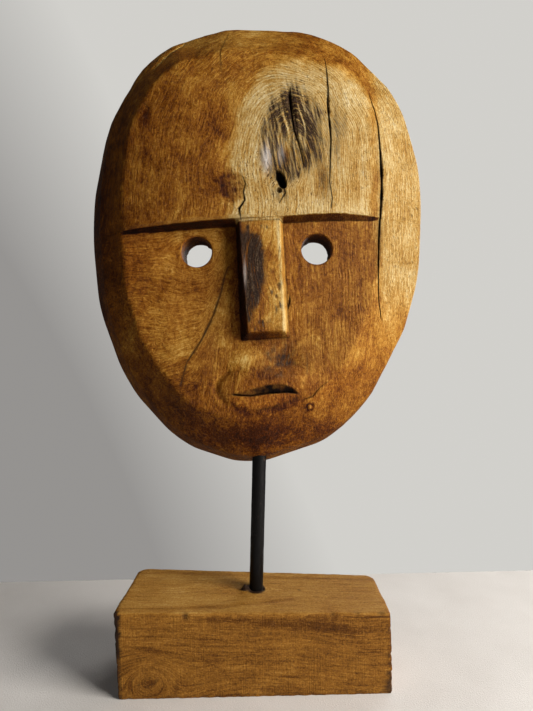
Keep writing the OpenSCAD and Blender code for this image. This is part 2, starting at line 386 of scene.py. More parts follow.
def in_mouth(x, fade):
    """1 between the mouth's two ends, 0 outside them."""
    return smooth((x - MOUTH_LEFT) / fade) * smooth((MOUTH_RIGHT - x) / fade)


def mouth_cut(x, z):
    """The scoop above the line of the mouth, and the lower lip that stands out below it."""
    line, top, bottom = (mouth_line(name, x) for name in ("line", "top", "bottom"))
    ends = in_mouth(x, 6)
    up = (z - line) / np.maximum(top - line, 0.4)
    deep = 1.6 + 2.8 * smooth(x / 12)
    scoop = ends * (deep * np.clip(1 - up, 0, 1) ** 0.8 + 0.5 * smooth((1.12 - up) / 0.12)) * (up > 0)
    down = (line - z) / np.maximum(line - bottom, 0.4)
    lip = np.sin(math.pi * np.clip(down, 0, 1) ** 0.55) * 2.2 + 1.1 * smooth(down / 0.15)
    lip = lip * smooth((1.15 - down) / 0.18) * (up <= 0)
    groove = 1.6 * np.clip(1 - np.abs(z - line) / 0.9, 0, 1)
    return scoop - ends * lip + ends * groove + 0.25 * ends * (down > 0) * (down < 1) * noise(x, z, 4, 11)


# The knot's two holes: x, z, half width, half height.
KNOT_HOLE, SMALL_HOLE = (28.6, 213, 3.2, 6.2), (27, 205, 1.9, 1.9)
HOLE_LEAN = 0.3


def crack_depth(x, z):
    """How deep the splits and the knot's holes go, and how dark they are."""
    deep, dark = np.zeros(np.shape(x)), np.zeros(np.shape(x))
    for points, width, depth, shade, peak in CRACKS.values():
        d, along = to_line(x, z, points)
        taper = smooth(along / peak) * smooth((1 - along) / (1 - peak))
        half = width / 2 * (0.25 + 0.75 * taper) * (1 + 0.25 * noise(along * 90, 0, 5, 12))
        ends = smooth(np.minimum(along, 1 - along) / 0.03)
        deep = np.maximum(deep, depth * ends * (0.3 + 0.7 * taper) * np.clip(1 - d / half, 0, 1) ** 0.7)
        dark = np.maximum(dark, shade * ends * smooth((half + 0.45 - d) / 0.6))
    cx, cz, sx, sz = KNOT_HOLE
    hole = np.hypot((x - cx - HOLE_LEAN * (cz - z)) / sx, (z - cz) / sz) + 0.12 * noise(x, z, 3, 13)
    cx, cz, sx, sz = SMALL_HOLE
    small = np.hypot((x - cx) / sx, (z - cz) / sz)
    deep = np.maximum.reduce([deep, 9 * np.clip(1.15 - hole, 0, 1) ** 0.6,
                              2.5 * np.clip(1.1 - small, 0, 1) ** 0.6])
    dark = np.maximum.reduce([dark, smooth((1.25 - hole) / 0.3), 0.8 * smooth((1.3 - small) / 0.4)])
    return deep, dark


KNOB = (47, 46)
SCAR = [(-45, 334), (-56, 325), (-68, 311)]
KNOT_LEAN = 0.17
KNOT_EDGE = [(38, 289), (22, 270), (14, 250), (13, 230), (20, 214), (30, 209), (43, 213), (50, 221),
             (62, 228), (65, 247), (62, 266), (50, 281)]


def leaning(x, z, level):
    """x measured along the knot's slant, the same as x at the level."""
    return x + KNOT_LEAN * (z - level)


def knot_fibres(x, z, size, seed):
    """Streaks that run down the dark knot of the forehead."""
    across = leaning(x, z, 255) + 1.6 * noise(x, z, 22, seed + 40)
    return noise(across, z * 0.10, size, seed)


# Rough wood beside the knot.
ROUGH_SPOTS = [(27, 205, 11, 12, 0.8), (60, 214, 7, 12, 0.7), (-5, 208, 10, 12, 0.8)]


def weathered(x, z):
    """How open the grain is, 0 to 1: the dark knot of the forehead and the patches beside it."""
    knot = smooth((inside_of(x, z, KNOT_EDGE) + 2 + 3 * noise(x, z, 9, 17)) / 6)
    return np.clip(knot + spots(x, z, ROUGH_SPOTS), 0, 1)


def front(x, z):
    """Front surface of the finished mask."""
    y = blank(x, z) + tool_marks(x, z)
    face = cheeks(x, z) + mouth_cut(x, z) + chatter(x, z)
    low = soft_max(y, face, 1.2)
    edge = brow_edge(x)
    under = np.clip((edge - z) / brow_under(x), 0, 1)
    below = y + (low - y) * under
    share, u, v = nose_share(x, z)
    nose = NOSE_Y + 0.35 * noise(u, v, 24, 14) + 0.25 * smooth((np.abs(u) - 9) / 5)
    nose = nose + (low + 0.4 - nose) * np.clip(share, 0, 1)
    below = np.where(share < 1, np.minimum(below, nose), below)
    y = np.where(z < edge, below, y + 0.6 * bell(z - edge, 0.8) * (under == 0))
    y += weathered(x, z) * (0.55 * knot_fibres(x, z, 2.4, 15) + 0.25 * knot_fibres(x, z, 1.1, 16))
    y += 1.7 * blob(leaning(x, z, 262), z, 39.5, 268, 1.8, 15)
    y += 1.0 * blob(leaning(x, z, 238), z, 42.5, 238, 1.2, 12) - 0.9 * blob(x, z, 18, 229, 3, 9)
    y += 0.5 * blob(x, z, -4, 208, 12, 13) * (0.6 + noise(x, z, 3.2, 18))
    y += 1.7 * bell(line_far(x, z, SCAR), 1.3) + 0.9 * blob(x, z, -58, 308, 7, 5)
    knob = np.hypot(x - KNOB[0], z - KNOB[1])
    y += 0.5 * bell(knob - 2.2, 0.7) - 0.5 * bell(knob, 1.3)
    y += 0.7 * np.clip((EYE_R + EYE_EDGE - from_eyes(x, z)) / EYE_EDGE, 0, 1)
    return y + crack_depth(x, z)[0]


def back(x, z):
    """Back surface: a flat rim round a shallow hollow that stops above the chin."""
    r, _, far = polar(x, z)
    w = far - r + 1.6 * noise(x, z, 30, 21)
    slope = HOLLOW_D / HOLLOW_SLOPE
    deep = np.minimum((w - BACK_RIM) * slope, (z - CHIN_SOLID + 1.5 * noise(x, z, 24, 22)) * slope)
    deep = -soft_max(-deep, np.full_like(deep, -HOLLOW_D), 5.0) + 0.3
    deep = np.clip(deep, 0, None)
    gouge = smooth(deep / 6)
    rows = np.abs(noise(x * 0.9 + 6 * noise(x, z, 40, 23), z * 0.25, 9, 24))
    return BACK_Y - deep + gouge * (2.0 * rows - 0.7) + 0.22 * (1 - gouge) * noise(x * 0.2, z, 5, 25)


# ---------------------------------------------------------------- meshing
def grid_points(cell, inside):
    """A grid of staggered points where inside(x, z) says so."""
    xs, zs = np.arange(-150, 160, cell), np.arange(-5, 365, cell * 0.866)
    x, z = np.meshgrid(xs, zs)
    x = x + (np.arange(len(zs))[:, None] % 2) * cell / 2
    x, z = x.ravel(), z.ravel()
    keep = inside(x, z)
    return np.stack([x[keep], z[keep]], 1)


def feature_lines():
    """Lines that the front mesh follows: brow, nose, mouth and splits."""
    xs = np.arange(-104, 106, 1.1)
    lines = [np.stack([xs, brow_edge(xs) - t * brow_under(xs)], 1)
             for t in (-0.45, 0, 0.2, 0.4, 0.6, 0.8, 1.0, 1.25)]
    for t in (-0.2, 0, 0.25, 0.5, 0.75, 1.0, 1.15):
        end = NOSE_LEN - 0.5 - NOSE_END * (1 - t)
        out = [(side * (width / 2 + NOSE_FLARE[name][k] * t), at)
               for side, name in ((-1, "left"), (1, "right"))
               for k, width, at in ((0, NOSE_TOP, 3), (1, NOSE_TIP, end))]
        u, v = resample([out[0], out[1], out[3], out[2]], 1.0).T
        lines.append(np.stack([NOSE_X + u * ROLL_C + v * ROLL_S, BROW_Z + u * ROLL_S - v * ROLL_C], 1))
    xs = np.arange(MOUTH_LEFT, MOUTH_RIGHT + 0.1, 0.8)
    for name, shifts in (("line", (-0.9, -0.4, 0, 0.4, 0.9)), ("top", (0, 0.5)), ("bottom", (0, -0.9))):
        lines += [np.stack([xs, mouth_line(name, xs) + shift], 1) for shift in shifts]
    for points, width, *_ in CRACKS.values():
        way = resample(points, 0.9)
        side = np.gradient(way, axis=0)
        side = np.stack([-side[:, 1], side[:, 0]], 1) / np.hypot(*side.T)[:, None]
        lines += [way + side * k * width * 0.5 for k in (-0.9, -0.5, 0, 0.5, 0.9)]
    return lines


# Places with finer detail: middle, half width, half height and grid size.
FINE = [(40, 250, 28, 42, 0.62), (-4, 208, 18, 18, 0.7), (26, 206, 18, 20, 0.62), (75, 128, 12, 30, 0.7),
        (14, 142, 17, 44, 0.8), (16, 56, 34, 20, 0.8)]


def front_points(inside):
    """Grid points of the front: coarse, with finer patches."""
    x, z = grid_points(FRONT_CELL, inside).T
    coarse = np.ones(len(x), bool)
    patches = []
    for k, (cx, cz, rx, rz, cell) in enumerate(FINE):
        coarse &= np.hypot((x - cx) / rx, (z - cz) / rz) > 1
        p = grid_points(cell, inside)
        ok = np.hypot((p[:, 0] - cx) / rx, (p[:, 1] - cz) / rz) <= 1
        for ox, oz, sx, sz, _ in FINE[:k]:
            ok &= np.hypot((p[:, 0] - ox) / sx, (p[:, 1] - oz) / sz) > 1
        patches.append(p[ok])
    return np.concatenate([np.stack([x[coarse], z[coarse]], 1)] + patches)


def thin_out(points, taken, gap):
    """Drops the points that are nearer than gap to any taken point."""
    cells = {}
    for k, (a, b) in enumerate(np.floor(taken / gap).astype(int)):
        cells.setdefault((a, b), []).append(k)
    keep = np.ones(len(points), bool)
    for n, (a, b) in enumerate(np.floor(points / gap).astype(int)):
        near = [k for i in (-1, 0, 1) for j in (-1, 0, 1) for k in cells.get((a + i, b + j), ())]
        if near and np.min(np.sum((taken[near] - points[n]) ** 2, 1)) < gap * gap:
            keep[n] = False
    return points[keep]


def inside_loop(triangles, place, n):
    """Drops triangles that fill a dent outside a closed loop; place is each point's place on it or -1."""
    at = place[triangles]
    round_trip = sum((at[:, (k + 1) % 3] - at[:, k]) % n for k in range(3))
    return triangles[(at < 0).any(1) | (round_trip == n)]


def eye_circle(eye, r):
    a = np.linspace(0, 2 * math.pi, EYE_AROUND, endpoint=False)
    return np.stack([eye[0] + r * np.cos(a), eye[1] + r * np.sin(a)], 1)


def sheet_mesh(loop, lines, cell, inset):
    """Triangles inside a closed loop that keep the eye circles and the given lines as edges."""
    lines = lines + [eye_circle(eye, EYE_R + EYE_EDGE) for eye in EYES]
    points, edges, starts, n = [loop], [], [], len(loop)
    for eye in EYES:
        starts.append(n)
        points.append(eye_circle(eye, EYE_R))
        edges += [(n + k, n + (k + 1) % EYE_AROUND) for k in range(EYE_AROUND)]
        n += EYE_AROUND

    def inside(x, z, rim_gap, eye_gap):
        r, turn, _ = polar(x, z)
        far_enough = r < np.interp(turn, *inset, period=2 * math.pi) - rim_gap
        return far_enough & (from_eyes(x, z) > EYE_R + eye_gap)

    for line in lines:
        ok = inside(line[:, 0], line[:, 1], 0.5, 0.2)
        index = np.full(len(line), -1)
        index[ok] = n + np.arange(ok.sum())
        points.append(line[ok])
        n += ok.sum()
        edges += [(int(index[k]), int(index[k + 1])) for k in range(len(line) - 1)
                  if ok[k] and ok[k + 1]]
    taken = np.concatenate(points)

    def in_sheet(x, z):
        return inside(x, z, cell * 0.5, cell * 0.4)

    grid = front_points(in_sheet) if cell == FRONT_CELL else grid_points(cell, in_sheet)
    extra = thin_out(grid, taken, min(cell, 1.1) * 0.5)
    every = np.concatenate([taken, extra])
    out, _, faces, origin, _, _ = delaunay_2d_cdt(
        [Vector(p) for p in every], edges, [list(range(len(loop)))], 1, 1e-5, True)
    p = np.array([tuple(v) for v in out])
    tri = np.array([f for f in faces if len(f) == 3])
    tri = tri[from_eyes(*p[tri].mean(1).T) > EYE_R * 0.999]
    where = {i: k for k, ids in enumerate(origin) for i in ids}
    rim = [where[k] for k in range(len(loop))]
    place = np.full(len(p), -1)
    place[rim] = np.arange(len(loop))
    holes = [[where[s + k] for k in range(EYE_AROUND)] for s in starts]
    return p, inside_loop(tri, place, len(loop)), rim, holes


def mask_mesh():
    """Points in mm and faces of the whole mask."""
    dense = np.linspace(-math.pi, math.pi, 7201)[:-1]
    length = walked(np.stack(on_ring(dense, 0), 1))
    turn = np.interp(np.linspace(0, length[-1], AROUND, endpoint=False), length, dense)
    band = band_w(turn)
    front_loop = np.stack(on_ring(turn, band), 1)
    back_loop = np.stack(on_ring(turn, BACK_INSET), 1)
    fp, ft, f_rim, f_holes = sheet_mesh(front_loop, feature_lines(), FRONT_CELL,
                                        (TURN, FAR - np.interp(TURN, turn, band, period=2 * math.pi)))
    bp, bt, b_rim, b_holes = sheet_mesh(back_loop, [], BACK_CELL, (TURN, FAR - BACK_INSET))
    y_front, y_back = front(fp[:, 0], fp[:, 1]), back(bp[:, 0], bp[:, 1])
    points = [np.stack([fp[:, 0], y_front, fp[:, 1]], 1), np.stack([bp[:, 0], y_back, bp[:, 1]], 1)]
    shift = len(fp)
    faces = [tuple(t) for t in ft] + [tuple(int(k) + shift for k in t[::-1]) for t in bt]

    def add_ring(x, y, z):
        """Adds a ring of points and gives their numbers."""
        start = sum(len(p) for p in points)
        points.append(np.stack([x, y, z], 1))
        return start + np.arange(len(x))

    rows = [np.array(b_rim) + shift]
    last = np.array(f_rim)
    for t in BAND_ROWS[1:-1]:
        bulge = 0.5 * noise(turn * 150, t * 24, 17, 31) + 0.25 * noise(turn * 150, t * 24, 6, 32)
        fade = smooth(t / 0.1) * smooth((1 - t) / 0.25)
        x, z = on_ring(turn, band * t - 0.3 * math.sin(math.pi * t) + bulge * fade * 0.8)
        rows.append(add_ring(x, BACK_Y + (y_front[last] - BACK_Y) * t, z))
    faces += bridge(rows + [last])

    a = np.linspace(0, 2 * math.pi, EYE_AROUND, endpoint=False)
    for eye, f_ring, b_ring in zip(EYES, f_holes, b_holes):
        y0, y1 = y_front[f_ring], y_back[b_ring]
        rows = [np.array(f_ring)]
        for t in EYE_ROWS:
            torn = smooth((t - 0.6) / 0.3) * (0.6 * noise(a * 11, eye[0], 2.2, 33) - 0.5)
            x, z = eye_circle(eye, EYE_R + 0.08 * noise(a * 11, t * 28, 4, 34) + torn).T
            rows.append(add_ring(x, y0 + (y1 - y0) * t, z))
        faces += bridge(rows + [np.array(b_ring) + shift])
    return np.concatenate(points), faces


rod_low, rod_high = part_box("rod")
ROD_R, SOCKET_GAP = (rod_high.y - rod_low.y) / 2, 0.08e-3
ROD_JOINT = next(j for j in frame["joints"] if j["name"] == "rod_turn")
ROD_AXIS, ROD_FOOT = Vector(ROD_JOINT["axis"]).normalized(), Vector(ROD_JOINT["pos_m"])
ROD_PLACE = Matrix.Translation(ROD_FOOT) @ ROD_AXIS.to_track_quat("Z", "Y").to_matrix().to_4x4()
FOOT_X, FOOT_Y = ROD_JOINT["pos_m"][0] * 1000, ROD_JOINT["pos_m"][1] * 1000
SHARP = 38  # degrees between two faces, from which their edge is sharp


def new_object(name, points, faces, sharp_degrees=SHARP):
    mesh = bpy.data.meshes.new(name)
    mesh.from_pydata([tuple(p) for p in points], [], faces)
    mesh.validate()
    mesh.shade_smooth()
    mesh.set_sharp_from_angle(angle=math.radians(sharp_degrees))
    made = bpy.data.objects.new(name, mesh)
    bpy.context.scene.collection.objects.link(made)
    return made


def places(mesh):
    co = np.zeros(len(mesh.vertices) * 3, np.float32)
    mesh.vertices.foreach_get("co", co)
    return co.reshape(-1, 3).astype(float)


def store(mesh, **layers):
    """Keeps a value for each point of the mesh, for the materials to read."""
    for name, values in layers.items():
        attribute = mesh.attributes.new(name, "FLOAT", "POINT")
        attribute.data.foreach_set("value", np.asarray(values, np.float32))


def cut_socket(piece, name):
    """Cuts the hole that the round CAD rod stands in out of a piece."""
    start, end = (rod_low.z - ROD_FOOT.z) / ROD_AXIS.z, (rod_high.z - ROD_FOOT.z) / ROD_AXIS.z
    n, r = 64, ROD_R + SOCKET_GAP
    turns = [2 * math.pi * i / n for i in range(n)]
    points = [(r * math.cos(a), r * math.sin(a), h) for h in (start, end) for a in turns]
    faces = [tuple(range(n - 1, -1, -1)), tuple(range(n, 2 * n))] + bridge([np.arange(n), n + np.arange(n)])
    drill = new_object(name, points, faces)
    drill.matrix_world = ROD_PLACE
    cut = piece.modifiers.new("socket", "BOOLEAN")
    cut.operation, cut.object, cut.solver = "DIFFERENCE", drill, "EXACT"
    bpy.context.view_layer.update()
    graph = bpy.context.evaluated_depsgraph_get()
    made = bpy.data.meshes.new_from_object(piece.evaluated_get(graph))
    piece.modifiers.clear()
    old = piece.data
    piece.data = made
    bpy.data.meshes.remove(old)
    bpy.data.objects.remove(drill)
    made.name = piece.name
    made.set_sharp_from_angle(angle=math.radians(SHARP))


# ---------------------------------------------------------------- colour zones of the mask
# Lighter and darker places: x, z, half width, half height, how much.
TONES = [
    (-70, 235, 26, 70, -0.06), (-57, 281, 9, 8, -0.10), (-44, 274, 9, 8, -0.08), (-22, 258, 12, 12, -0.08),
    # (-58, 306) is painted shade in the dent below the scar at the top left.
    (-30, 280, 8, 6, -0.08), (-58, 306, 8, 6, -0.16), (21, 330, 16, 6, -0.10), (33, 322, 8, 5, -0.10),
    (-40, 320, 14, 8, -0.06), (51, 320, 8, 5, -0.06), (76, 312, 8, 5, -0.12), (106, 290, 8, 10, -0.10),
    (-72, 268, 4, 14, -0.10), (-25, 232, 26, 26, -0.04), (4, 332, 44, 14, 0.17), (0, 20, 40, 14, -0.05),
    (33, 231, 3, 6, -0.25), (40, 202, 8, 8, -0.12), (13, 208, 6, 6, -0.10), (59, 212, 5, 14, -0.16),
    (104, 280, 10, 16, 0.04), (85, 235, 12, 40, -0.05), (62, 30, 16, 12, -0.05), (12, 135, 12, 44, -0.04),
    (28, 84, 9, 8, -0.08), (10, 10, 50, 12, -0.05), (-118, 180, 20, 120, -0.22), (118, 262, 12, 26, 0.08),
    (96, 296, 16, 12, 0.06), (-2, 83, 8, 5, 0.12), (12, 86, 8, 4, 0.08), (-62, 168, 28, 14, 0.02),
    (-39, 135, 8, 6, -0.08), (-62, 138, 6, 6, -0.08), (-60, 150, 20, 8, 0.04), (-52, 92, 16, 18, 0.12),
    (-16, 105, 10, 24, 0.06), (2, 81, 13, 6, 0.14), (22, 70, 14, 5, -0.10), (0, 27, 56, 16, -0.20),
    (-48, 45, 24, 18, -0.13), (20, 25, 12, 7, -0.08), (66, 140, 28, 40, -0.04), (-78, 130, 5, 50, -0.04),
    (86, 66, 22, 14, -0.07), (105, 105, 20, 34, 0.10), (-30, 70, 12, 14, -0.10), (60, 25, 20, 12, -0.04),
    (50, 68, 14, 8, 0.05), (-75, 65, 18, 26, -0.12), (85, 175, 20, 12, -0.03), (56, 176, 20, 8, -0.04),
    (-90, 240, 8, 60, -0.05),
]
PITTED = [(-18, 212), (-13, 220), (-6, 221), (1, 216), (3, 207), (0, 199), (-8, 196), (-15, 201)]
NOSE_BLOTCH = [(-1, 174), (4, 175), (10, 173), (13.5, 164), (14.5, 150), (14, 137), (10.5, 124), (6, 116),
               (3, 111), (2, 122), (1, 138), (0, 157)]
# Redder places: x, z, half width, half height, how much.
WARMTH = [
    (-60, 165, 34, 22, 0.6), (-45, 120, 26, 20, 0.4), (55, 64, 26, 14, 0.7), (-100, 140, 24, 90, 0.5),
    (0, 30, 60, 22, 0.5), (14, 50, 24, 5, 0.9), (-70, 260, 30, 60, 0.25), (108, 90, 22, 40, 0.45),
    (12, 62, 20, 6, 0.5), (60, 20, 30, 20, 0.3),
]

# Grey streaks: in the knot, and in the wood beside it.
CORE = [(46.0, 258, 7.5, 27, 0.80), (39.5, 264, 2.6, 16, 0.60)]
STREAKS = [(28, 226, 6, 12, 0.30), (-7, 208, 9, 11, 0.15), (60, 213, 6, 14, 0.42), (27, 203, 8, 6, 0.40),
           (70.5, 250, 3.2, 24, 0.50), (77, 256, 3, 12, 0.30), (91, 222, 1.6, 7, 0.30),
           (27, 262, 9, 18, 0.35)]
NOSE_SPECKS = [(10, 106, 8, 7, 1.0), (24, 135, 5, 22, 0.7), (6, 178, 14, 5, 0.8)]
LIP_LINE = [(45, 86), (45.4, 78), (45, 71)]
KNOT_X, KNOT_Z = 42, 240


def knot_rings(x, z):
    """Rings round the forehead knot: 1 on the edge of the pale wood, growing outwards."""
    cx = KNOT_X + 3 * noise(x, z, 60, 41)
    across = (x - cx) / np.where(x < cx, 47 + 0.05 * np.maximum(0, KNOT_Z - z), 52)
    return np.hypot(across, np.maximum(0, z - KNOT_Z) / 64) + 0.03 * noise(x, z, 26, 42)


def grain(x, z):
    """Millimetres across and along the grain: rings on the forehead, waves on the left cheek."""
    lean = KNOT_LEAN * (z - 250) * smooth((inside_of(x, z, KNOT_EDGE) + 6) / 12)
    rings = knot_rings(x + lean, z)
    across = 50 * rings + 0.25 * x + 2.2 * noise(x, z, 30, 47)
    tilt = np.arctan2(np.maximum(0, z - KNOT_Z), np.abs(x - KNOT_X) * 1.25 + 1e-6)
    along = np.minimum(z, KNOT_Z) + tilt * 55 * np.maximum(rings, 0.4)
    eye = np.hypot(x - EYES[0][0], (z - EYE_Z) * 1.25)
    around = 9 * bell(eye, 26) * np.sign(z - EYE_Z) * smooth(np.abs(z - EYE_Z) / 10)
    fan = 0.35 * (x + 50) * smooth((130 - z) / 50)
    left_across = z - around - fan + 5 * noise(x, z, 32, 48) + 1.5 * noise(x, z, 11, 49)
    share = smooth((-14 - x + 0.30 * (z - 110)) / 22) * smooth((brow_edge(x) + 2 - z) / 3)
    return across + (left_across - across) * share, along + (x - along) * share


def streaks(x, z):
    """Grey, weathered streaks of the knot and of the wood beside it."""
    core = spots(leaning(x, z, 256), z, CORE) + 0.52 * smooth((inside_of(x, z, KNOT_EDGE) + 4) / 10)
    lines = 0.85 + 0.8 * knot_fibres(x, z, 2.6, 45) + 0.7 * knot_fibres(x, z, 1.3, 46)
    return np.clip((core + spots(x, z, STREAKS)) * lines, 0, 1.1)


def mouth_shade(x, z):
    """Painted shade in the mouth's groove and in the scoop above it, dark marks along the lower lip's right
    edge, where the lower lip is, and the dent below it, which gets a painted shadow.
    """
    line, top, bottom = (mouth_line(name, x) for name in ("line", "top", "bottom"))
    ends = in_mouth(x, 3)
    # The groove and the scoop above the mouth line get painted shade; the lower lip's right edge gets dark
    # marks.
    gap = 0.9 * ends * smooth((1.3 - np.abs(z - line - 0.5)) / 0.9)
    scoop = ends * (z > line) * smooth((top - z + 1.0) / 2.0) * (0.58 + 0.40 * smooth((x + 2) / 14))
    edge = bell(z - bottom + 0.6, 1.1) * ends * smooth((x - 2) / 8)
    dark = [gap, scoop * (0.98 + 0.35 * noise(x, z, 4, 64)), 0.6 * edge * (0.7 + noise(x, z, 4, 65))]
    return dark, ends * smooth(line - z) * smooth(z - bottom), ends * bell(z - bottom + 3.2, 2.8)


def paint_mask(mesh):
    x, y, z = from_world(places(mesh))
    is_front = np.abs(y - front(x, z)) < np.abs(y - back(x, z))
    rings = knot_rings(x, z)
    edge, under = brow_edge(x), brow_under(x)
    above = smooth(z - edge + under + 0.5)
    reach = 1.14 + 0.30 * blob(x, z, 88, 285, 26, 34) + 0.08 * noise(x, z, 16, 50)
    pale = smooth((reach - rings) / 0.24) * above
    right = smooth((x - 94 + 4 * noise(x, z, 30, 59)) / 14) * smooth((z - 90) / 60)
    pale = np.maximum(pale, 1.25 * right)
    tone = 0.44 + 0.05 * noise(x, z, 34, 43) + 0.05 * noise(x, z, 15, 60) + spots(x, z, TONES)
    tone += 0.22 * pale - 0.11 * right + 0.04 * above * smooth((1.6 - rings) / 0.6)
    tone += 0.40 * bell(line_far(x, z, SCAR), 0.9)
    knob = np.hypot(x - KNOB[0], z - KNOB[1])
    tone += 0.25 * bell(knob, 1.3) - 0.35 * bell(knob - 2.5, 0.8)

    # the nose
    share, u, v = nose_share(x, z)
    on_nose = smooth((1.15 - share) / 0.2) * smooth((edge - 0.5 * under - z) / 1.5)
    # A painted highlight along the nose's right edge, which faces the light: painted lighter and paler.
    lit_edge_highlight = bell(u - 13.5, 1.6)
    pale = np.maximum(pale, 0.8 * on_nose * lit_edge_highlight)
    tone += on_nose * (0.13 * smooth((u + 2) / 5) + 0.22 * lit_edge_highlight + 0.10 * blob(u, v, 0, 4, 16, 6))
    # Painted shade on the nose's left side and on its lower end, which face away from the light.
    tone -= on_nose * (0.22 * smooth((-12.3 - u) / 1.5) + 0.20 * smooth(v - NOSE_LEN + NOSE_END))
    # A painted shadow that the nose casts on the cheek to its left.
    nose_cast_shadow = smooth((-13.5 - u) / 1.5) * bell(u + 15, 7.5) * smooth((NOSE_LEN + 5 - v) / 10)
    tone -= 0.17 * nose_cast_shadow * smooth((edge - z) / 3)
    blotch = inside_of(x, z, NOSE_BLOTCH) + 1.5 * noise(x, z * 0.4, 5, 44) + 0.8 * noise(x, z, 2, 66)
    pits = np.clip(noise(x * 1.3, z * 0.6, 3.2, 61) - 0.10, 0, 1) * 2.2

    # grey, weathered wood
    philtrum = 0.75 * np.clip(blob(x, z, 26, 82, 12, 11) * (0.7 + 1.1 * noise(x, z, 4.5, 62)), 0, 1)
    grey = np.clip(np.maximum.reduce([
        1.3 * on_nose * smooth((blotch + 3.5) / 7.5), on_nose * pits * spots(x, z, NOSE_SPECKS),
        streaks(x, z), philtrum, 0.55 * smooth(1.0 - line_far(x, z, CRACKS["cheek_line"][0])),
        0.5 * smooth((1.0 - line_far(x, z, LIP_LINE)) / 0.8)]), 0, 1.1)

    # painted shade on the brow's underside, the pitted patch, and the resin with a painted glint
    face_side = smooth((x + 94) / 6) * smooth((103 - x) / 4)
    shadow = smooth((edge - z) / 0.6) * smooth((z - edge + under + 0.4) / 0.8) * face_side * (share > 1)
    tone -= (0.46 + 0.04 * smooth((x - 20) / 20)) * shadow
    brown = inside_of(x, z, PITTED) + 3 * noise(x, z, 6, 67)
    tone -= 0.22 * smooth((brown + 2) / 5) + 0.30 * smooth(brown / 3) * np.clip(noise(x, z, 3.4, 68), 0, 1)
    # Resin spots on the forehead and on the nose's left edge: their gloss lowers the roughness, and their
    # pale grey colour is a painted glint.
    gloss_and_glint = np.clip(blob(x, z, 18, 229, 3.2, 9) + 0.6 * blob(x, z, 29, 232, 2, 6), 0, 1)
    gloss_and_glint = np.maximum(gloss_and_glint, 0.7 * on_nose * blob(x, z, 0.8, 145, 0.9, 8))

    # dark lines: splits; painted shade along the foot of the brow, where the nose's sides meet the cheek and
    # in the mouth; dark marks at the lower lip
    foot = np.abs(z - edge + under) + 10 * (1 - face_side)
    to_nose_root_shade = np.abs(share - 1.05) / 0.16 + 10 * (z > edge - 0.5 * under)
    mouth_shade_and_marks, lip, shadow_below_lip = mouth_shade(x, z)
    dark = np.maximum.reduce([
        crack_depth(x, z)[1], 0.85 * smooth((0.9 - foot) / 0.9) * (0.75 + 0.5 * noise(x, z, 7, 63)),
        0.7 * smooth(1.0 - to_nose_root_shade), *mouth_shade_and_marks])
    # The dent under the lower lip is darkened: a painted shadow.
    tone -= 0.02 * lip + 0.15 * shadow_below_lip
    warm = np.clip(spots(x, z, WARMTH) * (1 - on_nose) + 0.8 * lip, 0, 1)
    back_tone = 0.50 + 0.07 * noise(x, z, 30, 52) - 0.08 * smooth((BACK_Y - 1.5 - y) / 4)
    eye_wall = smooth((EYE_R + 0.3 - from_eyes(x, z)) / 0.4)
    across, along = grain(x, z)
    # each value on the front, and on the back
    layers = {"warm": (warm, 0.25), "grey": (grey, 0), "dark": (np.clip(dark, 0, 1), 0), "pale": (pale, 0),
              "rough": (weathered(x, z), 0.3), "gloss_and_glint": (gloss_and_glint, 0), "across": (across, x),
              "along": (along, z), "chatter": (chatter_zone(x, z) * (z < edge), 0)}
    store(mesh, tone=np.clip(np.where(is_front, tone, back_tone) - 0.16 * eye_wall, 0, 1), depth=y,
          **{name: np.where(is_front, face, rear) for name, (face, rear) in layers.items()})


